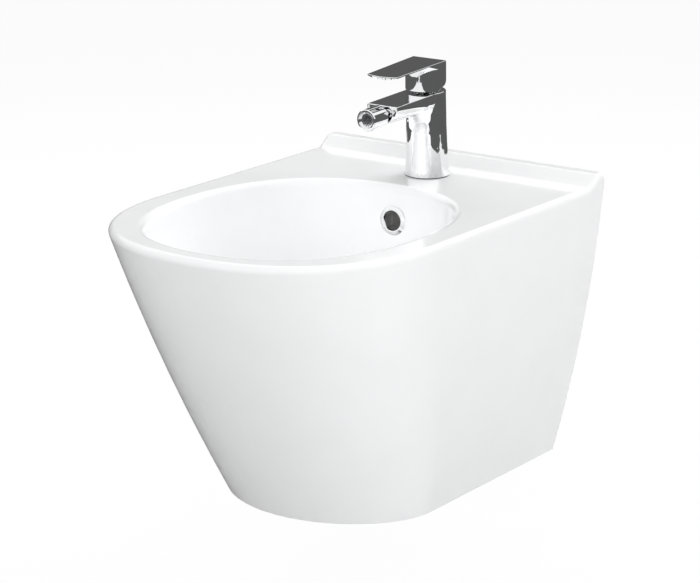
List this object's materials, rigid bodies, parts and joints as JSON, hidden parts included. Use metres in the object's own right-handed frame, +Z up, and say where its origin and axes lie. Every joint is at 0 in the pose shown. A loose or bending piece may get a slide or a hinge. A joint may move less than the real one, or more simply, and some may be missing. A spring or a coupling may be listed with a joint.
{
  "type": "wall-hung bidet",
  "caption": "Wall-hung ceramic bidet with a tapering rounded body, oval bowl, raised back ledge, push plug waste and a chrome lever tap with a swivel nozzle.",
  "frame": {"origin": "midway between the two wall fixings, on the wall face", "axes": "+X to the right seen from the front, +Y into the wall, +Z up"},
  "size_m": [0.3608, 0.5069, 0.4434],
  "materials": {
    "glaze": "gloss",
    "chrome": "polished",
    "aerator_chrome": "polished",
    "brass": "satin",
    "steel": "satin",
    "rubber": "matte",
    "white_plastic": "matte",
    "grey_plastic": "matte",
    "disc_ceramic": "matte"
  },
  "bodies": {
    "bidet": {"ceramic_body": "glaze", "tap_body": "chrome", "ball_collar": "chrome", "overflow_ring": "chrome", "waste_flange": "chrome", "cartridge_cover_ring": "chrome", "cartridge_nut": "chrome", "waste_body": "brass", "tap_fixing_stud": "steel", "fixing_clamp_plate": "steel", "fixing_nut": "steel", "plug_spring": "steel", "tap_base_gasket": "rubber", "fixing_rubber_washer": "rubber", "cartridge_base_seal": "rubber", "waste_flange_seal": "rubber", "waste_lower_seal": "rubber", "wall_sleeve_left": "white_plastic", "wall_sleeve_right": "white_plastic", "waste_backnut": "white_plastic", "plug_guide": "white_plastic", "cartridge_housing": "white_plastic", "fixed_disc": "disc_ceramic"},
    "rotor": {"cartridge_rotor": "white_plastic", "rotor_pivot_pin": "steel"},
    "lever": {"lever_handle": "chrome", "lever_stem": "steel", "lever_set_screw": "steel", "lever_index_plug": "grey_plastic"},
    "disc": {"moving_disc": "disc_ceramic", "disc_carrier": "white_plastic"},
    "nozzle_seat": {"ball_seat_ring": "white_plastic"},
    "nozzle": {"nozzle": "chrome", "aerator_washer": "rubber", "aerator_housing": "aerator_chrome", "aerator_insert": "aerator_chrome"},
    "plug": {"plug_cap": "chrome", "plug_seal": "rubber", "plug_stem": "steel"}
  },
  "joints": [
    {"name": "lever_swivel", "type": "hinge", "parent": "bidet", "child": "rotor", "pos_m": [0, -0.0794, 0.174], "axis": [0, 0, 1], "range_deg": [-45, 45]},
    {"name": "lever_lift", "type": "hinge", "parent": "rotor", "child": "lever", "pos_m": [0, -0.0794, 0.174], "axis": [-1, 0, 0], "range_deg": [0, 20]},
    {"name": "disc_slide", "type": "slide", "parent": "rotor", "child": "disc", "axis": [0, -1, 0], "range_m": [0, 0.00356]},
    {"name": "nozzle_roll", "type": "hinge", "parent": "bidet", "child": "nozzle_seat", "pos_m": [0, -0.157, 0.1714], "axis": [0, -1, 0], "continuous": true},
    {"name": "nozzle_tilt", "type": "hinge", "parent": "nozzle_seat", "child": "nozzle", "pos_m": [0, -0.157, 0.1714], "axis": [1, 0, 0], "range_deg": [-17, 13]},
    {"name": "plug_slide", "type": "slide", "parent": "bidet", "child": "plug", "axis": [0, 0, 1], "range_m": [-0.008, 0], "deforming": ["plug_spring"]}
  ],
  "couplings": [
    {"joint": "disc_slide", "follows": "lever_lift", "m_per_rad": 0.01019}
  ]
}
